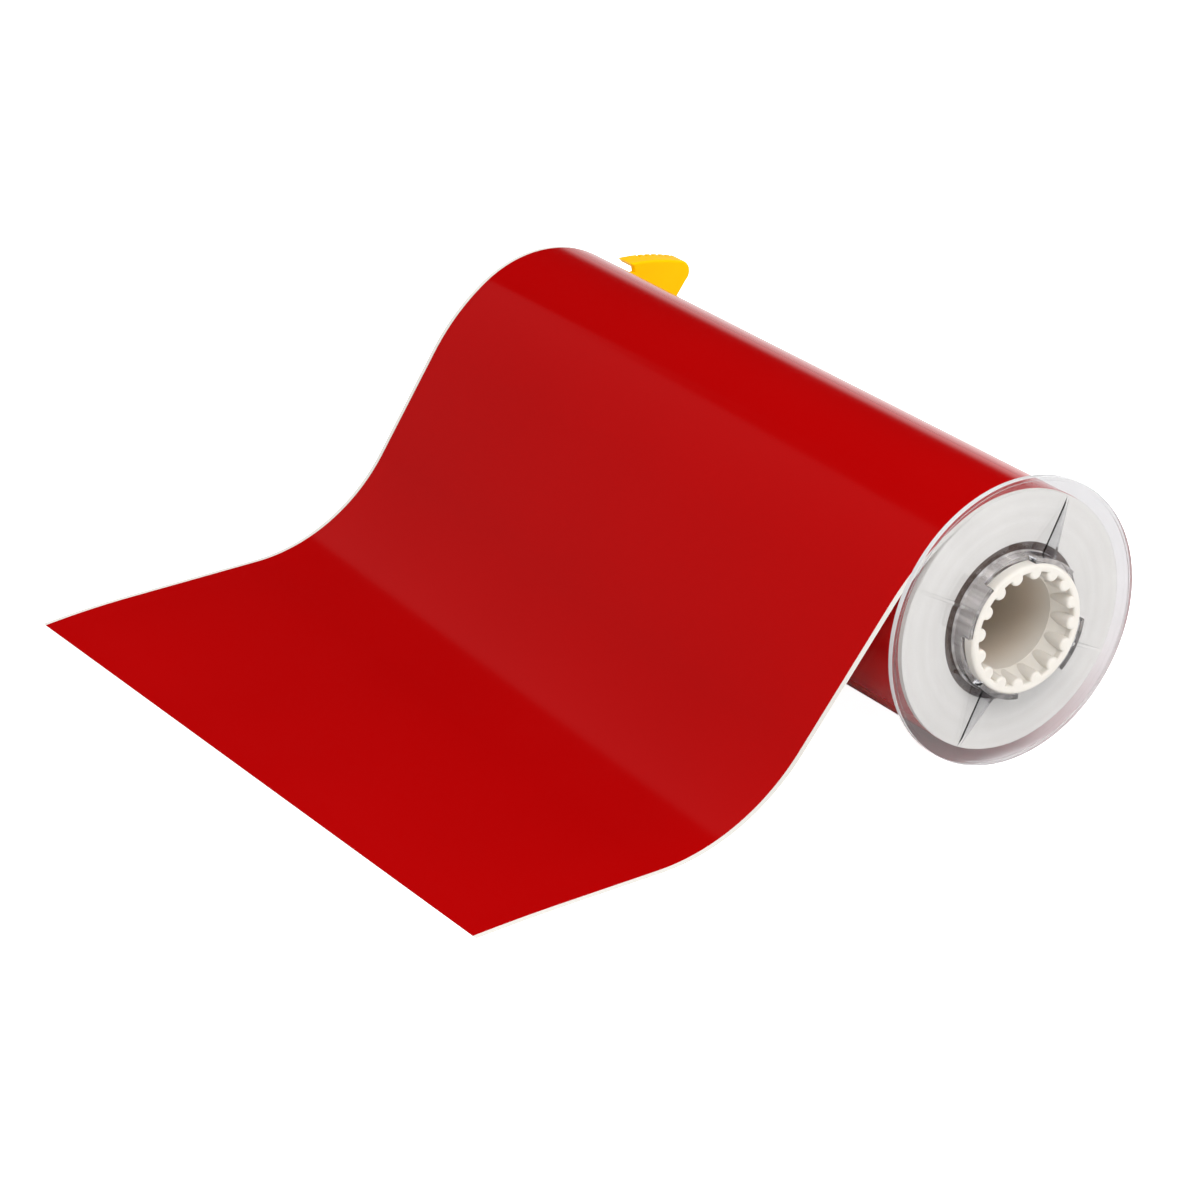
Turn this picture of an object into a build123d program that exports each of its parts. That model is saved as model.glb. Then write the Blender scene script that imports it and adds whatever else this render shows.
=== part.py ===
"""A roll of sign vinyl on a paper core, with its drive hub, clear side flange and chip holder.

Frame: the origin is on the roll's axis at the middle of its width.  +X runs along the axis to
the drive end, +Z is up, and the free tail leaves over the crest towards -Y and lies on the
surface that the roll stands on.  All sizes are millimetres.
"""
import os
from collections import namedtuple
from math import cos, radians, sin

from build123d import *

# Web: the film with its adhesive, and the release liner under it
FILM_WIDTH = 254.0
LINER_BORDER = 1.8
LINER_WIDTH = FILM_WIDTH + 2 * LINER_BORDER
FILM_THICKNESS = 0.115
LINER_THICKNESS = 0.115
WEB_THICKNESS = FILM_THICKNESS + LINER_THICKNESS

# Roll
CORE_INNER_RADIUS = 23.0
CORE_OUTER_RADIUS = 25.4
ROLL_RADIUS = 42.0
LAST_TURN_RADIUS = ROLL_RADIUS - WEB_THICKNESS
TAPE_THICKNESS = 0.1
TAPE_LENGTH = 250.0
TAPE_START = 200.0
TAPE_SWEEP = 28.0

# Hubs: a moulded plug in each end of the core, with a journal outside it
BORE_RADIUS = 15.9
JOURNAL_RADIUS = 21.1
RUNNING_CLEARANCE = 0.08
CORE_END = LINER_WIDTH / 2
JOURNAL_LENGTH = 8.3
HUB_END = CORE_END + JOURNAL_LENGTH
HUB_DEPTH = 34.0
HUB_ROUNDING = 1.2
POCKET_INNER_RADIUS = 18.0
POCKET_OUTER_RADIUS = 21.0
POCKET_DEPTH = 24.0
POCKET_COUNT = 8
POCKET_SWEEP = 38.0
LIP_RADIUS = 22.4
LIP_LENGTH = 0.9

# Drive teeth in the mouth of the drive hub
TOOTH_COUNT = 16
TOOTH_STRAIGHT_DEPTH = 2.5
TOOTH_DEPTH = 8.5
TOOTH_FIRST_ANGLE = 13.5
TOOTH_TIP_RADIUS = 16.0
TOOTH_ROOT_RADIUS = 18.4
TOOTH_NOSE_RADIUS = 2.2
TOOTH_FOOT_WIDTH = 5.8
TOOTH_ROUNDING = 0.9

# Clear flange
FLANGE_RADIUS = 46.8
FLANGE_FACE = CORE_END + 0.3
FLANGE_THICKNESS = 1.2
RIM_WIDTH = 1.3
RIM_HEIGHT = 1.6
COLLAR_THICKNESS = 1.6
COLLAR_HEIGHT = 4.2
FINGER_HEIGHT = 7.7
FINGER_SWEEP = 44.0
FINGER_COUNT = 4
FIRST_RIB_ANGLE = 61.0
RIB_OUTER_RADIUS = 41.5
RIB_HEIGHT = 6.6
RIB_THICKNESS = 1.0

# Chip holder, which turns on the far hub and stands on its foot
HOLDER_FACE = -CORE_END - 0.3
HOLDER_DEPTH = 7.0
HOLDER_WALL = 1.7
HOLDER_RING_RADIUS = 26.4
FOOT_WIDTH = 30.0
FOOT_NECK_WIDTH = 40.0

# Arm of the chip holder, with its thumb tab: (Y, Z) points round the outline
TAB_DEPTH = 7.5
TAB_TIP = (38.8, 27.7)
TAB_TOP = (50.5, 26.5)
TAB_SHOULDER = (61.4, 23.7)
TAB_HEEL = (62.9, 16.2)
ARM_ELBOW = (58.7, 10.8)
ARM_KNEE = (45.0, -5.0)
ARM_HEEL = (20.0, -14.0)
ARM_NECK = (10.0, 21.0)
TAB_ROOT = (40.4, 24.3)
LIP_ROOT = (40.1, 26.0)
TAB_ROUNDING = 0.9
SERRATION_COUNT = 7
SERRATION_RADIUS = 0.5
SERRATION_LENGTH = 2.2
SERRATION_PITCH = 2.9
FIRST_SERRATION = 7.8

# Memory board and its contact pads
BOARD_WIDTH = 18.0
BOARD_HEIGHT = 12.0
BOARD_THICKNESS = 1.0
BOARD_DROP = 36.0
PAD_WIDTH = 3.0
PAD_HEIGHT = 6.0
PAD_THICKNESS = 0.1
PAD_PITCH = 4.2
PAD_COUNT = 4

# Tail: how one edge of the web leaves the roll, comes down and lies flat
EdgeRun = namedtuple("EdgeRun", "leave_angle crest_radius crest_turn foot_radius lift end")
NEAR_EDGE = EdgeRun(115.7, 81.0, 24.0, 67.5, 0.0, -193.9)
FAR_EDGE = EdgeRun(122.5, 74.0, 23.0, 62.0, 2.4, -197.2)
TAIL_START_ANGLE = 114.7
TURN_END_ANGLE = 114.2
RELIEF_DEPTH = 0.3
RELIEF_SWEEP = 36.0
SURFACE_HEIGHT = -FLANGE_RADIUS

# A block large enough to trim the tail with
TRIM_SIZE = 1000.0


def ring_sector(inner, outer, start, sweep):
    """Draw a sector of a ring about the origin in the current sketch."""
    with BuildLine() as outline:
        outside = CenterArc((0, 0), outer, start, sweep)
        inside = CenterArc((0, 0), inner, start, sweep)
        Line(inside @ 0, outside @ 0)
        Line(inside @ 1, outside @ 1)
    make_face(outline.edges())


def web_section(edge, low, high):
    """Draw the section of one layer of the tail, between two heights above its underside."""
    steepest = edge.leave_angle - 90 + edge.crest_turn
    with BuildLine() as outline:
        starts = []
        ends = []
        for height in (low, high):
            on_roll = CenterArc(
                (0, 0),
                LAST_TURN_RADIUS + height,
                TAIL_START_ANGLE,
                edge.leave_angle - TAIL_START_ANGLE,
            )
            crest_radius = edge.crest_radius + height
            crest = JernArc(on_roll @ 1, on_roll % 1, crest_radius, edge.crest_turn)
            flat_height = SURFACE_HEIGHT + edge.lift + height
            foot_radius = edge.foot_radius - height
            foot_rise = foot_radius * (1 - cos(radians(steepest)))
            slope_drop = (crest @ 1).Y - flat_height - foot_rise
            slope_length = slope_drop / sin(radians(steepest))
            slope = Line(crest @ 1, crest @ 1 + (crest % 1) * slope_length)
            foot = JernArc(slope @ 1, slope % 1, foot_radius, -steepest)
            flat = Line(foot @ 1, (edge.end, flat_height))
            starts.append(on_roll @ 0)
            ends.append(flat @ 1)
        Line(*starts)
        Line(*ends)
    make_face(outline.edges())


def plug(side):
    """Return a plain hub for one end of the core: a plug, and a journal outside it."""
    inner_end = side * (CORE_END - HUB_DEPTH)
    with BuildPart() as hub:
        with BuildSketch(Plane.YZ.offset(inner_end)):
            Circle(CORE_INNER_RADIUS)
        extrude(amount=side * HUB_DEPTH)
        with BuildSketch(Plane.YZ.offset(side * CORE_END)):
            Circle(JOURNAL_RADIUS)
        extrude(amount=side * JOURNAL_LENGTH)
        with BuildSketch(Plane.YZ.offset(inner_end)):
            Circle(BORE_RADIUS)
        extrude(amount=side * (HUB_DEPTH + JOURNAL_LENGTH), mode=Mode.SUBTRACT)
        with BuildSketch(Plane.YZ.offset(inner_end)):
            for pocket in range(POCKET_COUNT):
                pocket_start = pocket * 360 / POCKET_COUNT
                ring_sector(POCKET_INNER_RADIUS, POCKET_OUTER_RADIUS, pocket_start, POCKET_SWEEP)
        extrude(amount=side * POCKET_DEPTH, mode=Mode.SUBTRACT)
    return hub.part


os.makedirs("parts", exist_ok=True)

# Paper core
with BuildPart() as paper_core:
    with BuildSketch(Plane.YZ.offset(-CORE_END)):
        Circle(CORE_OUTER_RADIUS)
        Circle(CORE_INNER_RADIUS, mode=Mode.SUBTRACT)
    extrude(amount=LINER_WIDTH)

# Strip of tape that holds the start of the web to the core
with BuildPart() as start_tape:
    with BuildSketch(Plane.YZ.offset(-TAPE_LENGTH / 2)):
        ring_sector(
            CORE_OUTER_RADIUS, CORE_OUTER_RADIUS + TAPE_THICKNESS, TAPE_START, TAPE_SWEEP
        )
    extrude(amount=TAPE_LENGTH)

# Wound web: every turn below the last one, set back a little where the tail lifts off
with BuildPart() as wound_web:
    with BuildSketch(Plane.YZ.offset(-CORE_END)):
        Circle(LAST_TURN_RADIUS)
        Circle(CORE_OUTER_RADIUS + TAPE_THICKNESS, mode=Mode.SUBTRACT)
    extrude(amount=LINER_WIDTH)
    with BuildSketch(Plane.YZ.offset(-CORE_END)):
        ring_sector(
            LAST_TURN_RADIUS - RELIEF_DEPTH, ROLL_RADIUS, TURN_END_ANGLE, RELIEF_SWEEP
        )
    extrude(amount=LINER_WIDTH, mode=Mode.SUBTRACT)

# Last turn, which the tail continues: the liner inside and the film outside it
TURN_START_ANGLE = TURN_END_ANGLE + RELIEF_SWEEP
TURN_SWEEP = 360 - RELIEF_SWEEP
with BuildPart() as liner_last_turn:
    with BuildSketch(Plane.YZ.offset(-LINER_WIDTH / 2)):
        ring_sector(
            LAST_TURN_RADIUS, LAST_TURN_RADIUS + LINER_THICKNESS, TURN_START_ANGLE, TURN_SWEEP
        )
    extrude(amount=LINER_WIDTH)

with BuildPart() as film_last_turn:
    with BuildSketch(Plane.YZ.offset(-FILM_WIDTH / 2)):
        ring_sector(
            LAST_TURN_RADIUS + LINER_THICKNESS, ROLL_RADIUS, TURN_START_ANGLE, TURN_SWEEP
        )
    extrude(amount=FILM_WIDTH)

# Tail: the liner underneath and the film on it, both ruled between the web's two edges
with BuildPart() as liner_tail:
    for edge, place in ((FAR_EDGE, -LINER_WIDTH / 2), (NEAR_EDGE, LINER_WIDTH / 2)):
        with BuildSketch(Plane.YZ.offset(place)):
            web_section(edge, 0, LINER_THICKNESS)
    loft(ruled=True)

with BuildPart() as film_tail:
    for edge, place in ((FAR_EDGE, -LINER_WIDTH / 2), (NEAR_EDGE, LINER_WIDTH / 2)):
        with BuildSketch(Plane.YZ.offset(place)):
            web_section(edge, LINER_THICKNESS, WEB_THICKNESS)
    loft(ruled=True)
    Box(FILM_WIDTH, TRIM_SIZE, TRIM_SIZE, mode=Mode.INTERSECT)

# Drive hub: a plug with rounded teeth in its mouth, whose gaps run out into the bore
near_plug = plug(1)
with BuildPart() as drive_hub:
    add(near_plug)
    with BuildSketch(Plane.YZ.offset(HUB_END)):
        Circle(TOOTH_ROOT_RADIUS)
    extrude(amount=-TOOTH_STRAIGHT_DEPTH, mode=Mode.SUBTRACT)
    with BuildSketch(Plane.YZ.offset(HUB_END - TOOTH_STRAIGHT_DEPTH)):
        Circle(TOOTH_ROOT_RADIUS)
    with BuildSketch(Plane.YZ.offset(HUB_END - TOOTH_DEPTH)):
        Circle(TOOTH_TIP_RADIUS)
    loft(mode=Mode.SUBTRACT)
    tooth_length = TOOTH_ROOT_RADIUS - TOOTH_TIP_RADIUS - TOOTH_NOSE_RADIUS
    with BuildSketch(Plane.YZ.offset(HUB_END)):
        Circle((TOOTH_ROOT_RADIUS + JOURNAL_RADIUS) / 2)
        Circle(TOOTH_ROOT_RADIUS, mode=Mode.SUBTRACT)
        with PolarLocations(
            TOOTH_TIP_RADIUS + TOOTH_NOSE_RADIUS, TOOTH_COUNT, start_angle=TOOTH_FIRST_ANGLE
        ):
            Circle(TOOTH_NOSE_RADIUS)
            Polygon(
                (0, -TOOTH_NOSE_RADIUS),
                (tooth_length, -TOOTH_FOOT_WIDTH / 2),
                (tooth_length, TOOTH_FOOT_WIDTH / 2),
                (0, TOOTH_NOSE_RADIUS),
                align=None,
            )
    extrude(amount=-TOOTH_DEPTH)
    mouth = drive_hub.faces().sort_by(Axis.X)[-1]
    fillet(mouth.inner_wires()[0].edges(), TOOTH_ROUNDING)
    mouth = drive_hub.faces().sort_by(Axis.X)[-1]
    fillet(mouth.outer_wire().edges(), HUB_ROUNDING)

# Far hub: a plug whose journal ends in a lip that keeps the chip holder on
far_plug = plug(-1)
with BuildPart() as far_hub:
    add(far_plug)
    with BuildSketch(Plane.YZ.offset(-HUB_END)):
        Circle(LIP_RADIUS)
        Circle(BORE_RADIUS, mode=Mode.SUBTRACT)
    extrude(amount=LIP_LENGTH)

# Clear flange: a disc with a thick rim, a collar with four fingers, and four gusset ribs
COLLAR_INNER_RADIUS = JOURNAL_RADIUS + RUNNING_CLEARANCE
COLLAR_OUTER_RADIUS = COLLAR_INNER_RADIUS + COLLAR_THICKNESS
with BuildPart() as clear_flange:
    with BuildSketch(Plane.YZ.offset(FLANGE_FACE)):
        Circle(FLANGE_RADIUS)
        Circle(COLLAR_INNER_RADIUS, mode=Mode.SUBTRACT)
    extrude(amount=FLANGE_THICKNESS)
    with BuildSketch(Plane.YZ.offset(FLANGE_FACE)):
        Circle(FLANGE_RADIUS)
        Circle(FLANGE_RADIUS - RIM_WIDTH, mode=Mode.SUBTRACT)
    extrude(amount=RIM_HEIGHT)
    with BuildSketch(Plane.YZ.offset(FLANGE_FACE)):
        Circle(COLLAR_OUTER_RADIUS)
        Circle(COLLAR_INNER_RADIUS, mode=Mode.SUBTRACT)
    extrude(amount=COLLAR_HEIGHT)
    for finger in range(FINGER_COUNT):
        rib_angle = FIRST_RIB_ANGLE + finger * 360 / FINGER_COUNT
        with BuildSketch(Plane.YZ.offset(FLANGE_FACE)):
            ring_sector(
                COLLAR_INNER_RADIUS,
                COLLAR_OUTER_RADIUS,
                rib_angle - FINGER_SWEEP / 2,
                FINGER_SWEEP,
            )
        extrude(amount=FINGER_HEIGHT)
        outward = Vector(0, cos(radians(rib_angle)), sin(radians(rib_angle)))
        rib_plane = Plane(
            origin=(FLANGE_FACE, 0, 0), x_dir=outward, z_dir=outward.cross(Vector(1, 0, 0))
        )
        with BuildSketch(rib_plane):
            Polygon(
                (COLLAR_OUTER_RADIUS - COLLAR_THICKNESS / 2, FLANGE_THICKNESS / 2),
                (RIB_OUTER_RADIUS, FLANGE_THICKNESS / 2),
                (RIB_OUTER_RADIUS, FLANGE_THICKNESS),
                (COLLAR_OUTER_RADIUS - COLLAR_THICKNESS / 2, RIB_HEIGHT),
                align=None,
            )
        extrude(amount=RIB_THICKNESS / 2, both=True)

# Arm of the chip holder as a solid plate, rounded round its near face
with BuildPart() as arm:
    with BuildSketch(Plane.YZ.offset(HOLDER_FACE)) as arm_shape:
        with BuildLine():
            tab_top = ThreePointArc(TAB_TIP, TAB_TOP, TAB_SHOULDER)
            tab_side = TangentArc(TAB_SHOULDER, TAB_HEEL, tangent=tab_top % 1)
            Polyline(TAB_HEEL, ARM_ELBOW, ARM_KNEE, ARM_HEEL, ARM_NECK, TAB_ROOT, LIP_ROOT, TAB_TIP)
        make_face()
    extrude(amount=-TAB_DEPTH)
    fillet(arm.edges().group_by(Axis.X)[-1], TAB_ROUNDING)
    with BuildSketch(Plane.YZ.offset(HOLDER_FACE - HOLDER_DEPTH)):
        Circle(HOLDER_RING_RADIUS)
    extrude(amount=HOLDER_DEPTH - TAB_DEPTH, mode=Mode.SUBTRACT)

# Chip holder: a ring on the far hub, a foot below it, and the arm.  The tab at the arm's end is a
# thin web under a deep lip that wraps round its outer side, and its inner side is open.
with BuildPart() as chip_holder:
    with BuildSketch(Plane.YZ.offset(HOLDER_FACE)):
        Circle(HOLDER_RING_RADIUS)
    extrude(amount=-HOLDER_DEPTH)
    with BuildSketch(Plane.YZ.offset(HOLDER_FACE)) as foot_shape:
        Polygon(
            (-FOOT_NECK_WIDTH / 2, -HOLDER_RING_RADIUS / 2),
            (-FOOT_WIDTH / 2, SURFACE_HEIGHT),
            (FOOT_WIDTH / 2, SURFACE_HEIGHT),
            (FOOT_NECK_WIDTH / 2, -HOLDER_RING_RADIUS / 2),
            align=None,
        )
    extrude(amount=-HOLDER_DEPTH)
    add(arm.part)
    for outline in (foot_shape, arm_shape):
        with BuildSketch(Plane.YZ.offset(HOLDER_FACE - HOLDER_WALL)):
            add(outline.sketch_local)
            offset(amount=-HOLDER_WALL, mode=Mode.REPLACE)
            Circle(HOLDER_RING_RADIUS, mode=Mode.SUBTRACT)
        extrude(amount=HOLDER_WALL - TAB_DEPTH, mode=Mode.SUBTRACT)
    with BuildSketch(Plane.YZ.offset(HOLDER_FACE - HOLDER_WALL)):
        lip_underside = TAB_TIP[1] - HOLDER_WALL
        open_end = TAB_ROOT[0] + HOLDER_WALL
        Polygon(
            (ARM_NECK[0], ARM_NECK[1] + HOLDER_WALL),
            (TAB_TIP[0], lip_underside),
            (open_end, lip_underside),
            (open_end, TAB_ROOT[1] - HOLDER_WALL),
            (ARM_NECK[0], ARM_NECK[1] - 2 * HOLDER_WALL),
            align=None,
        )
        Circle(HOLDER_RING_RADIUS, mode=Mode.SUBTRACT)
    extrude(amount=HOLDER_WALL - TAB_DEPTH, mode=Mode.SUBTRACT)
    grip = Wire([tab_top, tab_side])
    with BuildSketch(Plane.YZ.offset(HOLDER_FACE - TAB_DEPTH)):
        for serration in range(SERRATION_COUNT):
            distance = FIRST_SERRATION + serration * SERRATION_PITCH
            with Locations(grip @ (distance / grip.length)):
                Circle(SERRATION_RADIUS)
    extrude(amount=SERRATION_LENGTH, mode=Mode.SUBTRACT)
    with BuildSketch(Plane.YZ.offset(HOLDER_FACE)):
        Circle(JOURNAL_RADIUS + RUNNING_CLEARANCE)
    extrude(amount=-HOLDER_DEPTH, mode=Mode.SUBTRACT)

# Memory board in the foot's pocket, and its contact pads
BOARD_FACE = HOLDER_FACE - HOLDER_WALL
with BuildPart() as memory_board:
    with BuildSketch(Plane.YZ.offset(BOARD_FACE)):
        with Locations((0, -BOARD_DROP)):
            Rectangle(BOARD_WIDTH, BOARD_HEIGHT)
    extrude(amount=-BOARD_THICKNESS)

with BuildPart() as memory_contacts:
    with BuildSketch(Plane.YZ.offset(BOARD_FACE - BOARD_THICKNESS)):
        with Locations((0, -BOARD_DROP)):
            with GridLocations(PAD_PITCH, 0, PAD_COUNT, 1):
                Rectangle(PAD_WIDTH, PAD_HEIGHT)
    extrude(amount=-PAD_THICKNESS)

pieces = {
    "paper_core": paper_core,
    "start_tape": start_tape,
    "wound_web": wound_web,
    "liner_last_turn": liner_last_turn,
    "film_last_turn": film_last_turn,
    "liner_tail": liner_tail,
    "film_tail": film_tail,
    "drive_hub": drive_hub,
    "far_hub": far_hub,
    "clear_flange": clear_flange,
    "chip_holder": chip_holder,
    "memory_board": memory_board,
    "memory_contacts": memory_contacts,
}
for name, piece in pieces.items():
    piece.part.label = name
    export_step(piece.part, f"parts/{name}.step")
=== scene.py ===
"""The looks of a roll of sign vinyl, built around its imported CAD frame.

Everything is in metres in the frame's own axes: +X runs along the roll to the toothed drive hub,
+Z is up, and the free tail leaves over the crest towards -Y.
"""

from collections import namedtuple
from math import cos, radians, sin

import bpy
import numpy as np
from mathutils import Matrix, Vector


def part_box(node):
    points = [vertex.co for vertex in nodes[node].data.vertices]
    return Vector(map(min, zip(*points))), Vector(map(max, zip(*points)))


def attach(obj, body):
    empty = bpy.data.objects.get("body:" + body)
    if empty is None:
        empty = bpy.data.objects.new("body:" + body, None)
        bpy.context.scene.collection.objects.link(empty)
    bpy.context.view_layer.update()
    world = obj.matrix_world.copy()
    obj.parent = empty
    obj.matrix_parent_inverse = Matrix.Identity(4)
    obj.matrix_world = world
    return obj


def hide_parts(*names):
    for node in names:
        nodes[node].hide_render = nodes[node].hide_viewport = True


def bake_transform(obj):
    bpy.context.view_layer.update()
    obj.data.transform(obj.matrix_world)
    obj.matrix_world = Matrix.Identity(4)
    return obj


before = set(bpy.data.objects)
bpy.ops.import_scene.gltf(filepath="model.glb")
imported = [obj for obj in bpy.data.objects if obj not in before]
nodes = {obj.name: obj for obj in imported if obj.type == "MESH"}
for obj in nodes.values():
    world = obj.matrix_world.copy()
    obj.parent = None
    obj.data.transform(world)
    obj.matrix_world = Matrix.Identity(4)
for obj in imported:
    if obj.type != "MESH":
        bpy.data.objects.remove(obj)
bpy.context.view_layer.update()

MM = 0.001

# Places and sizes read from the frame
roll_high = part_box("film_last_turn")[1]
flange_low, flange_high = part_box("clear_flange")
FILM_HALF = roll_high.x
ROLL_RADIUS = roll_high.z
LINER_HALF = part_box("liner_last_turn")[1].x
HUB_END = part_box("drive_hub")[1].x
FLANGE_RADIUS = flange_high.z
FLOOR = flange_low.z

# The web's section and its last turn, as in the CAD model, with a gap that keeps the layers apart
FILM_THICKNESS = 0.115 * MM
LINER_THICKNESS = 0.115 * MM
WEB_THICKNESS = FILM_THICKNESS + LINER_THICKNESS
LAYER_GAP = 0.004 * MM
TAIL_START_ANGLE = 114.7
RELIEF_SWEEP = 36.0

# How each long edge of the tail leaves the roll, comes down and lies flat, with angles in degrees from
# +Y towards +Z. The CAD tail is the same, but its near edge has no lift and neither edge has a curl.
EdgeRun = namedtuple("EdgeRun", "leave_angle crest_radius crest_turn foot_radius lift end curl")
NEAR_EDGE = EdgeRun(
    leave_angle=115.7,
    crest_radius=81.0 * MM,
    crest_turn=24.0,
    foot_radius=67.5 * MM,
    lift=0.7 * MM,
    end=-193.9 * MM,
    curl=0.7 * MM,
)
FAR_EDGE = EdgeRun(
    leave_angle=122.5,
    crest_radius=74.0 * MM,
    crest_turn=23.0,
    foot_radius=62.0 * MM,
    lift=2.4 * MM,
    end=-197.2 * MM,
    curl=1.5 * MM,
)
CURL_RUN = 32.0 * MM


# ---------------------------------------------------------------- camera and light
# Degrees for the angles, metres above the floor for the height, millimetres for the lens
CAMERA_AZIMUTH = 56.01
CAMERA_ELEVATION = 25.11
CAMERA_TILT = -0.75
CAMERA_SIDE, CAMERA_FRONT, CAMERA_HEIGHT = 1.04536, -0.76781, 0.61266
LENS = 130.36
SENSOR = 36.0

# Brightness of the room, and of its walls and ceiling where they are seen in a reflection
ROOM_LIGHT = 0.75
WALL_GLOSS = 0.85
CEILING_GLOSS = 0.005

# Where the wall ends and the ceiling begins, as the height of a unit vector that points there
WALL_TOP = 0.05
CEILING_START = 0.19

# The floor's glow towards the camera, and towards what is seen through the clear flange
FLOOR_GLOW = 0.95
FLOOR_GLOW_BEHIND = 0.02

# The place of the light that shows only in reflections, as the veil on the tail's slope
SHEEN_X, SHEEN_Y, SHEEN_HEIGHT = -0.55, -0.401, 0.28


def make_camera():
    """A long lens looking down on the drive end, as the product was pictured."""
    azimuth, elevation = radians(CAMERA_AZIMUTH), radians(CAMERA_ELEVATION)
    tilt = radians(CAMERA_TILT)
    back = Vector((sin(azimuth) * cos(elevation), -cos(azimuth) * cos(elevation), sin(elevation)))
    right = (-back).cross(Vector((0, 0, 1))).normalized()
    up = right.cross(-back)
    tilted_right = right * cos(tilt) + up * sin(tilt)
    tilted_up = up * cos(tilt) - right * sin(tilt)
    data = bpy.data.cameras.new("camera")
    data.lens = LENS
    data.sensor_width = SENSOR
    camera = bpy.data.objects.new("camera", data)
    bpy.context.scene.collection.objects.link(camera)
    turn = Matrix((tilted_right, tilted_up, back)).transposed().to_4x4()
    place = (CAMERA_SIDE, CAMERA_FRONT, CAMERA_HEIGHT + FLOOR)
    camera.matrix_world = Matrix.Translation(place) @ turn
    bpy.context.scene.camera = camera


def area_light(name, place, target, size, power):
    """A soft rectangular light at place, facing target."""
    data = bpy.data.lights.new(name, "AREA")
    data.shape = "RECTANGLE"
    data.size, data.size_y = size
    data.energy = power
    light = bpy.data.objects.new(name, data)
    bpy.context.scene.collection.objects.link(light)
    light.location = place
    light.rotation_mode = "QUATERNION"
    light.rotation_quaternion = (Vector(target) - Vector(place)).to_track_quat("-Z", "Y")
    return light


def make_room():
    """A white room whose ceiling is dark in reflections.

    A ray through the clear flange counts as glossy too, so it is taken out of the reflections.
    """
    world = bpy.data.worlds.new("studio")
    world.use_nodes = True
    tree = world.node_tree
    room = tree.nodes["Background"]
    room.inputs["Strength"].default_value = ROOM_LIGHT
    room.inputs["Color"].default_value = (1.0, 1.0, 1.0, 1.0)
    direction = tree.nodes.new("ShaderNodeSeparateXYZ")
    height = tree.nodes.new("ShaderNodeMapRange")
    height.interpolation_type = "SMOOTHSTEP"
    height.inputs["From Min"].default_value = WALL_TOP
    height.inputs["From Max"].default_value = CEILING_START
    height.inputs["To Min"].default_value = WALL_GLOSS
    height.inputs["To Max"].default_value = CEILING_GLOSS
    reflected = tree.nodes.new("ShaderNodeBackground")
    ray = tree.nodes.new("ShaderNodeLightPath")
    mirrored = tree.nodes.new("ShaderNodeMath")
    mirrored.operation = "SUBTRACT"
    mirrored.use_clamp = True
    choice = tree.nodes.new("ShaderNodeMixShader")
    link = tree.links.new
    link(tree.nodes.new("ShaderNodeTexCoord").outputs["Generated"], direction.inputs["Vector"])
    link(direction.outputs["Z"], height.inputs["Value"])
    link(height.outputs["Result"], reflected.inputs["Strength"])
    link(ray.outputs["Is Glossy Ray"], mirrored.inputs[0])
    link(ray.outputs["Is Transmission Ray"], mirrored.inputs[1])
    link(mirrored.outputs["Value"], choice.inputs["Fac"])
    link(room.outputs["Background"], choice.inputs[1])
    link(reflected.outputs["Background"], choice.inputs[2])
    link(choice.outputs["Shader"], tree.nodes["World Output"].inputs["Surface"])
    bpy.context.scene.world = world


def make_lights():
    """Soft lights: key, side, a back light with no reflection, and a sheen that is only a reflection."""
    area_light("key", place=(1.1, -0.5, 1.6), target=(0, -0.05, 0), size=(1.0, 0.8), power=14.5)
    area_light("side", place=(1.7, 0.5, 0.7), target=(0, -0.02, 0), size=(0.9, 0.9), power=6.5)
    back = area_light("back", place=(0.3, 1.4, 1.2), target=(0, 0, 0), size=(1.0, 0.8), power=7)
    back.visible_glossy = False
    sheen = area_light(
        "sheen",
        place=(SHEEN_X, SHEEN_Y, SHEEN_HEIGHT),
        target=(SHEEN_X, SHEEN_Y, 0),
        size=(1.1, 0.698),
        power=0.5,
    )
    sheen.visible_camera = False
    sheen.visible_diffuse = False
    sheen.visible_transmission = False


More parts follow.
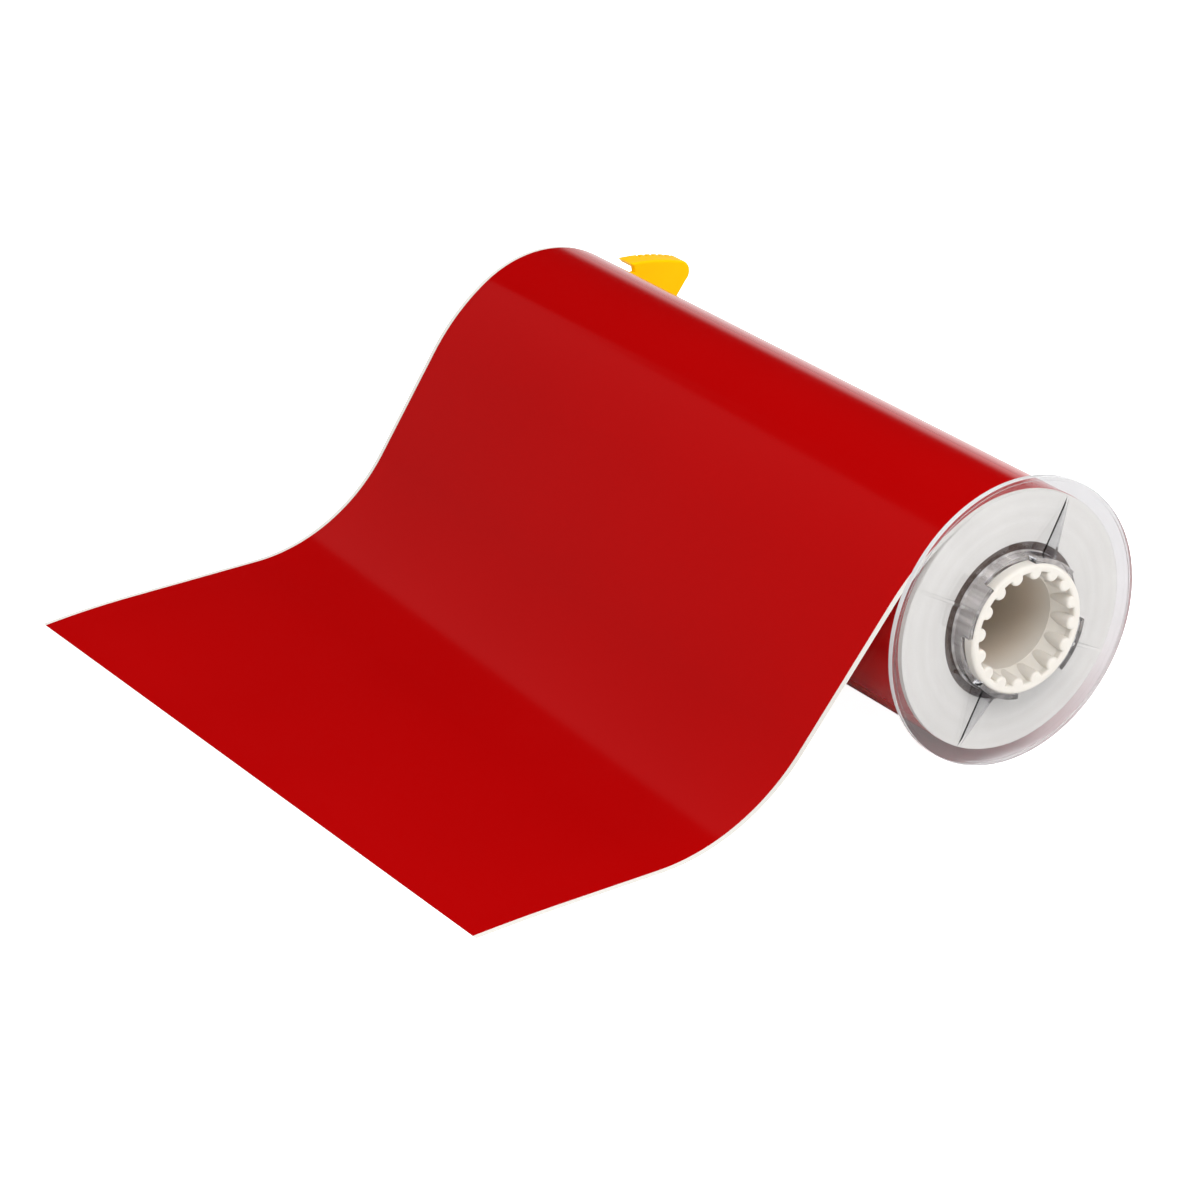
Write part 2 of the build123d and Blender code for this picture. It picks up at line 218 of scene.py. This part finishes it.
# ---------------------------------------------------------------- material helpers
class Shader:
    """One procedural material, with short calls for the nodes it needs."""

    def __init__(self, name, **sockets):
        self.material = bpy.data.materials.new(name)
        self.material.use_nodes = True
        self.tree = self.material.node_tree
        self.surface = self.tree.nodes["Principled BSDF"]
        for socket, value in sockets.items():
            self.surface.inputs[socket.replace("_", " ")].default_value = value

    def node(self, kind, inputs=(), **settings):
        made = self.tree.nodes.new(kind)
        for name, value in settings.items():
            setattr(made, name, value)
        for socket, value in dict(inputs).items():
            self.feed(made.inputs[socket], value)
        return made

    def feed(self, socket, value):
        if isinstance(value, bpy.types.NodeSocket):
            self.tree.links.new(value, socket)
        else:
            socket.default_value = value

    def place(self):
        """The point on the object, in metres."""
        return self.node("ShaderNodeTexCoord").outputs["Object"]

    def noise(self, scale, detail=2.0, roughness=0.5, vector=None):
        """Soft noise of a given scale per metre, at the point on the object unless told otherwise."""
        return self.node(
            "ShaderNodeTexNoise",
            {
                "Vector": vector or self.place(),
                "Scale": scale,
                "Detail": detail,
                "Roughness": roughness,
            },
        ).outputs["Fac"]

    def ring_noise(self, radius, per_metre, detail):
        """Noise that changes with the distance from the roll's axis only."""
        return self.node(
            "ShaderNodeTexNoise",
            {"W": self.math("MULTIPLY", radius, per_metre), "Scale": 1.0, "Detail": detail},
            noise_dimensions="1D",
        ).outputs["Fac"]

    def stretched(self, scale):
        """The point on the object, scaled differently along each axis."""
        return self.node(
            "ShaderNodeMapping", {"Vector": self.place(), "Scale": scale}
        ).outputs["Vector"]

    def math(self, operation, *values):
        made = self.node("ShaderNodeMath", operation=operation)
        for socket, value in zip(made.inputs, values):
            self.feed(socket, value)
        return made.outputs[0]

    def spread(self, value, low, high, from_low=0.0, from_high=1.0):
        """value, mapped to run from low to high."""
        return self.node(
            "ShaderNodeMapRange",
            {
                "Value": value,
                "From Min": from_low,
                "From Max": from_high,
                "To Min": low,
                "To Max": high,
            },
        ).outputs["Result"]

    def blend(self, factor, first, second):
        """A colour between first, at factor 0, and second, at factor 1."""
        made = self.node("ShaderNodeMix", data_type="RGBA")
        self.feed(made.inputs["Factor"], factor)
        self.feed(made.inputs["A"], first)
        self.feed(made.inputs["B"], second)
        return made.outputs["Result"]

    def colour(self, value):
        self.feed(self.surface.inputs["Base Color"], value)

    def roughness(self, value):
        self.feed(self.surface.inputs["Roughness"], value)

    def bump(self, height, distance, strength=1.0):
        made = self.node(
            "ShaderNodeBump", {"Height": height, "Distance": distance, "Strength": strength}
        )
        self.tree.links.new(made.outputs["Normal"], self.surface.inputs["Normal"])

    def radius(self):
        """How far the point is from the roll's axis, in metres."""
        parts = self.node("ShaderNodeSeparateXYZ", {"Vector": self.place()})
        squares = [self.math("POWER", parts.outputs[axis], 2.0) for axis in "YZ"]
        return self.math("SQRT", self.math("ADD", *squares))


def rgb(red, green, blue):
    return (red, green, blue, 1.0)


# ---------------------------------------------------------------- materials
# Rings per metre of radius on the wound edges
FINE_RINGS = 4200.0
BROAD_RINGS = 420.0

# How far inside the hub's end its bore starts to turn brown with painted warm shade, and where it is
# brown all over
BORE_SHADE_STARTS = 7 * MM
BORE_SHADE_FULL = 20 * MM

# The clear flange is greyer within this radius, where its thicker collar is: partly the plastic's tint,
# partly painted shade of the collar's occlusion
COLLAR_RADIUS = 24.5 * MM

# How far inside the flange's edge its painted white highlight starts, and where it is full
RIM_HIGHLIGHT_STARTS = 0.2 * MM
RIM_HIGHLIGHT_FULL = 0.1 * MM


def vinyl_material():
    """Red film: satin, with a fine faint tooth, and reflections tinted red to match the photo."""
    shader = Shader("vinyl", IOR=1.45, Specular_IOR_Level=1.0, Specular_Tint=rgb(1.0, 0.05, 0.04))
    drift = shader.noise(9.0, 2.0)
    shader.colour(shader.blend(drift, rgb(0.43, 0.0002, 0.0005), rgb(0.49, 0.0005, 0.0008)))
    shader.roughness(shader.spread(shader.noise(60.0, 3.0), 0.11, 0.14))
    shader.bump(shader.noise(2600.0, 2.0), 0.001 * MM)
    return shader.material


def liner_material():
    """Release liner: a smooth white coated paper with a faint fibre cloud."""
    shader = Shader("liner")
    cloud = shader.noise(700.0, 4.0, 0.6)
    shader.colour(shader.blend(cloud, rgb(0.80, 0.77, 0.71), rgb(0.90, 0.88, 0.84)))
    shader.roughness(shader.spread(shader.noise(300.0, 2.0), 0.38, 0.5))
    shader.bump(cloud, 0.01 * MM)
    return shader.material


def wound_material():
    """The stacked edges of the turns: pale rings that vary a little from turn to turn."""
    shader = Shader("wound_edges")
    radius = shader.radius()
    fine = shader.ring_noise(radius, FINE_RINGS, 1.0)
    broad = shader.ring_noise(radius, BROAD_RINGS, 2.0)
    rings = shader.math("ADD", shader.math("MULTIPLY", fine, 0.6), shader.math("MULTIPLY", broad, 0.4))
    spread = shader.spread(rings, 0.0, 1.0, 0.25, 0.75)
    shader.colour(shader.blend(spread, rgb(0.87, 0.835, 0.785), rgb(0.96, 0.93, 0.885)))
    shader.roughness(shader.spread(fine, 0.55, 0.75))
    shader.bump(fine, 0.03 * MM)
    return shader.material


def hub_material():
    """Warm white moulded plastic, with painted warm shade that turns its bore browner with depth."""
    shader = Shader(
        "hub_plastic",
        Subsurface_Weight=0.15,
        Subsurface_Radius=(0.002, 0.0016, 0.0012),
        Subsurface_Scale=1.0,
    )
    drift = shader.noise(120.0, 3.0)
    outside = shader.blend(drift, rgb(0.69, 0.655, 0.60), rgb(0.75, 0.715, 0.66))
    parts = shader.node("ShaderNodeSeparateXYZ", {"Vector": shader.place()})
    depth = shader.math("ABSOLUTE", parts.outputs["X"])
    # Painted warm shade: deeper in the bore the colour turns brown, standing in for the dim, warm light
    # in the hole
    inside = shader.spread(depth, 1.0, 0.0, HUB_END - BORE_SHADE_FULL, HUB_END - BORE_SHADE_STARTS)
    shader.colour(shader.blend(inside, outside, rgb(0.72, 0.63, 0.53)))
    shader.roughness(shader.spread(shader.noise(400.0, 2.0), 0.38, 0.5))
    shader.bump(shader.noise(1500.0, 2.0), 0.008 * MM)
    return shader.material


def clear_material():
    """Clear moulded plastic: greyer where the thicker collar is, partly its tint and partly painted
    shade, and with a painted white highlight on the rim's outer edge.

    A real plastic's index made the rim render as a black arc, so the body's is lower. The coat has
    the real one, so that the plate reflects as a real one does.
    """
    shader = Shader("clear_plastic", IOR=1.22, Coat_Weight=1.0, Coat_IOR=1.49, Coat_Roughness=0.02)
    radius = shader.radius()
    haze = shader.noise(90.0, 2.0)
    plate = shader.blend(haze, rgb(0.725, 0.73, 0.745), rgb(0.775, 0.78, 0.795))
    # Painted shade: within the collar's radius the plastic is painted a darker, streaked grey, for the
    # collar's occlusion as well as its tint
    collar = shader.spread(radius, 1.0, 0.0, COLLAR_RADIUS, COLLAR_RADIUS + MM)
    streak = shader.noise(1.0, 2.0, 0.5, shader.stretched((40.0, 420.0, 420.0)))
    streaks = shader.spread(streak, 0.0, 1.0, 0.38, 0.62)
    collar_tint_and_shade = shader.blend(streaks, rgb(0.55, 0.54, 0.56), rgb(0.84, 0.84, 0.88))
    tinted = shader.blend(collar, plate, collar_tint_and_shade)
    # Painted highlight: the rim's outer face is painted white and made less clear, for the bright band
    # along the flange's edge
    edge = shader.spread(radius, 0.0, 1.0, FLANGE_RADIUS - RIM_HIGHLIGHT_STARTS, FLANGE_RADIUS - RIM_HIGHLIGHT_FULL)
    shader.colour(shader.blend(edge, tinted, rgb(0.86, 0.86, 0.87)))
    shader.feed(shader.surface.inputs["Transmission Weight"], shader.spread(edge, 1.0, 0.3))
    shader.roughness(shader.spread(haze, 0.01, 0.04))
    shader.bump(shader.noise(40.0, 1.0), 0.02 * MM)
    # Light from the lamps passes straight through, so the flange throws no dark shadow
    lamp = shader.node("ShaderNodeLightPath").outputs["Is Shadow Ray"]
    open_air = shader.node("ShaderNodeBsdfTransparent").outputs["BSDF"]
    mixed = shader.node("ShaderNodeMixShader", {0: lamp, 1: shader.surface.outputs["BSDF"], 2: open_air})
    output = shader.tree.nodes["Material Output"]
    shader.tree.links.new(mixed.outputs["Shader"], output.inputs["Surface"])
    return shader.material


def chipboard_material():
    """Spiral-wound brown paper core."""
    shader = Shader("chipboard")
    fibre = shader.noise(1.0, 4.0, 0.6, shader.stretched((200.0, 900.0, 900.0)))
    shader.colour(shader.blend(fibre, rgb(0.055, 0.03, 0.02), rgb(0.13, 0.08, 0.058)))
    shader.roughness(shader.spread(fibre, 0.75, 0.9))
    shader.bump(fibre, 0.04 * MM)
    return shader.material


def tape_material():
    """Pale packing tape."""
    shader = Shader("tape")
    streak = shader.noise(1.0, 2.0, 0.5, shader.stretched((30.0, 900.0, 900.0)))
    shader.colour(shader.blend(streak, rgb(0.72, 0.62, 0.40), rgb(0.82, 0.74, 0.52)))
    shader.roughness(shader.spread(streak, 0.25, 0.4))
    return shader.material


def yellow_material():
    """Yellow moulded plastic with a fine matt grain."""
    shader = Shader("yellow_plastic", Specular_IOR_Level=0.15, Specular_Tint=rgb(1.0, 0.8, 0.05))
    drift = shader.noise(150.0, 2.0)
    shader.colour(shader.blend(drift, rgb(0.98, 0.53, 0.0), rgb(1.0, 0.59, 0.0)))
    shader.roughness(shader.spread(shader.noise(500.0, 2.0), 0.36, 0.48))
    shader.bump(shader.noise(2400.0, 2.0), 0.006 * MM)
    return shader.material


def board_material():
    """Green solder mask with faint tracks under it."""
    shader = Shader("board")
    track = shader.node(
        "ShaderNodeTexWave",
        {"Vector": shader.place(), "Scale": 180.0, "Distortion": 1.5, "Detail": 0.0},
        bands_direction="Y",
    ).outputs["Fac"]
    shader.colour(shader.blend(track, rgb(0.012, 0.11, 0.04), rgb(0.02, 0.19, 0.07)))
    shader.roughness(shader.spread(shader.noise(500.0, 2.0), 0.25, 0.35))
    return shader.material


def gold_material():
    """Gold-flashed contact pads with light scratches."""
    shader = Shader("gold", Metallic=1.0)
    scratch = shader.noise(1.0, 3.0, 0.6, shader.stretched((900.0, 8000.0, 600.0)))
    shader.colour(shader.blend(scratch, rgb(0.83, 0.58, 0.20), rgb(0.93, 0.70, 0.30)))
    shader.roughness(shader.spread(scratch, 0.18, 0.35))
    return shader.material


def floor_material():
    """Matt white, with a glow towards the camera that makes it as white as the photo's background."""
    shader = Shader("floor", Emission_Color=rgb(1.0, 1.0, 1.0), Specular_IOR_Level=0.0)
    ray = shader.node("ShaderNodeLightPath").outputs
    seen = shader.math("MULTIPLY", ray["Is Camera Ray"], FLOOR_GLOW)
    glow = shader.math("MULTIPLY_ADD", ray["Is Transmission Ray"], FLOOR_GLOW_BEHIND, seen)
    shader.feed(shader.surface.inputs["Emission Strength"], glow)
    cloud = shader.noise(3.0, 2.0)
    shader.colour(shader.blend(cloud, rgb(0.88, 0.88, 0.88), rgb(0.90, 0.90, 0.90)))
    shader.roughness(shader.spread(cloud, 0.85, 0.95))
    return shader.material


# ---------------------------------------------------------------- mesh helpers
def mesh_piece(name, points, faces, material, sharp_angle=40):
    """A new object from points and faces, smooth except at its corners."""
    mesh = bpy.data.meshes.new(name)
    mesh.from_pydata([tuple(point) for point in points], [], faces)
    mesh.materials.append(material)
    mesh.polygons.foreach_set("use_smooth", [True] * len(mesh.polygons))
    mesh.set_sharp_from_angle(angle=radians(sharp_angle))
    mesh.update()
    piece = bpy.data.objects.new(name, mesh)
    bpy.context.scene.collection.objects.link(piece)
    return piece


def sheet_piece(name, upper, lower, material):
    """A thin closed sheet between two grids of points, each rows by columns by three."""
    rows, columns = upper.shape[:2]
    count = rows * columns
    number = np.arange(count).reshape(rows, columns)
    faces = []
    for i in range(rows - 1):
        for j in range(columns - 1):
            quad = [number[i, j], number[i, j + 1], number[i + 1, j + 1], number[i + 1, j]]
            faces.append([int(n) for n in quad])
            faces.append([int(n) + count for n in reversed(quad)])
    rim = [*number[0], *number[1:, -1], *number[-1, -2::-1], *number[-2:0:-1, 0]]
    for first, second in zip(rim, rim[1:] + rim[:1]):
        faces.append([int(second), int(first), int(first) + count, int(second) + count])
    return mesh_piece(name, np.concatenate([upper.reshape(-1, 3), lower.reshape(-1, 3)]), faces, material)


# ---------------------------------------------------------------- the web
Steps = namedtuple("Steps", "on_roll crest slope foot flat")
TAIL_STEPS = Steps(on_roll=6, crest=28, slope=24, foot=44, flat=24)
TURN_STEPS = 289
COLUMNS = 97


def edge_line(edge, height, steps):
    """Points along one edge of the tail, from its start on the roll to its cut end."""
    steepest = edge.leave_angle - 90 + edge.crest_turn
    roll = ROLL_RADIUS - WEB_THICKNESS + height
    crest = edge.crest_radius + height
    foot = edge.foot_radius - height
    level = FLOOR + edge.lift + height
    line = []
    for angle in np.linspace(TAIL_START_ANGLE, edge.leave_angle, steps.on_roll):
        line.append((roll * cos(radians(angle)), roll * sin(radians(angle))))
    y, z = line[-1]
    centre = (
        y - crest * cos(radians(edge.leave_angle)),
        z - crest * sin(radians(edge.leave_angle)),
    )
    crest_end = edge.leave_angle + edge.crest_turn
    for angle in np.linspace(edge.leave_angle, crest_end, steps.crest)[1:]:
        line.append((centre[0] + crest * cos(radians(angle)), centre[1] + crest * sin(radians(angle))))
    y, z = line[-1]
    drop = z - level - foot * (1 - cos(radians(steepest)))
    run = drop / sin(radians(steepest))
    for along in np.linspace(0, run, steps.slope)[1:]:
        line.append((y - along * cos(radians(steepest)), z - along * sin(radians(steepest))))
    y, z = line[-1]
    foot_centre = (y - foot * sin(radians(steepest)), level + foot)
    for angle in np.linspace(steepest, 0, steps.foot)[1:]:
        line.append(
            (foot_centre[0] + foot * sin(radians(angle)), foot_centre[1] - foot * cos(radians(angle)))
        )
    y, z = line[-1]
    for along in np.linspace(y, edge.end, steps.flat)[1:]:
        past_curl = max(0.0, 1 - (along - edge.end) / CURL_RUN)
        line.append((along, level - edge.curl * past_curl**2))
    return np.array(line)


def tail_grid(height, half_width):
    """The tail's surface at a height above the liner's underside, ruled between its edges."""
    near = edge_line(NEAR_EDGE, height, TAIL_STEPS)
    far = edge_line(FAR_EDGE, height, TAIL_STEPS)
    across = np.linspace(-half_width, half_width, COLUMNS)
    share = (across / LINER_HALF + 1) / 2
    grid = np.zeros((len(near), COLUMNS, 3))
    grid[:, :, 0] = across
    grid[:, :, 1:] = far[:, None] * (1 - share[:, None]) + near[:, None] * share[:, None]
    return grid


def turn_grid(height, half_width):
    """The last turn's surface, which slips under the tail by one web's thickness."""
    angles = np.linspace(TAIL_START_ANGLE, TAIL_START_ANGLE - 360, TURN_STEPS)
    past_relief = TAIL_START_ANGLE - 360 + RELIEF_SWEEP
    under = np.clip((past_relief - angles) / RELIEF_SWEEP, 0, 1)
    radius = ROLL_RADIUS - WEB_THICKNESS + height - under * WEB_THICKNESS
    across = np.linspace(-half_width, half_width, COLUMNS)
    grid = np.zeros((len(angles), COLUMNS, 3))
    grid[:, :, 0] = across
    grid[:, :, 1] = (radius * np.cos(np.radians(angles)))[:, None]
    grid[:, :, 2] = (radius * np.sin(np.radians(angles)))[:, None]
    return grid[::-1]


def make_web(vinyl, liner):
    """The film and its liner: the last turn on the roll, and the tail that it leads to."""
    layers = (
        ("film", vinyl, "vinyl", LINER_THICKNESS + LAYER_GAP, WEB_THICKNESS, FILM_HALF),
        ("liner", liner, "liner", 0.0, LINER_THICKNESS, LINER_HALF),
    )
    for name, material, slot, low, high, half in layers:
        turn_top = turn_grid(high, half)
        turn = sheet_piece(f"{name}_turn", turn_top, turn_grid(low, half), material)
        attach(turn, "roll")
        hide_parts(f"{name}_last_turn")
        tail_top = tail_grid(high, half)
        tail = sheet_piece(f"{name}_web", tail_top, tail_grid(low, half), material)
        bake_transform(tail)
        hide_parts(f"{name}_tail")


# ---------------------------------------------------------------- the rest
def dress(node, material):
    """Give a CAD node its material, in place of any that it came with."""
    piece = nodes[node]
    piece.data.materials.clear()
    piece.data.materials.append(material)


def make_floor():
    bpy.ops.mesh.primitive_plane_add(size=8.0, location=(0, 0, FLOOR))
    floor = bpy.context.object
    floor.name = "floor"
    floor.data.materials.append(floor_material())


bpy.context.scene.view_settings.view_transform = "Standard"
make_camera()
make_room()
make_lights()
make_floor()
vinyl = vinyl_material()
liner = liner_material()
hub = hub_material()
make_web(vinyl, liner)
dress("wound_web", wound_material())
dress("paper_core", chipboard_material())
dress("start_tape", tape_material())
dress("drive_hub", hub)
dress("far_hub", hub)
dress("clear_flange", clear_material())
dress("chip_holder", yellow_material())
dress("memory_board", board_material())
dress("memory_contacts", gold_material())
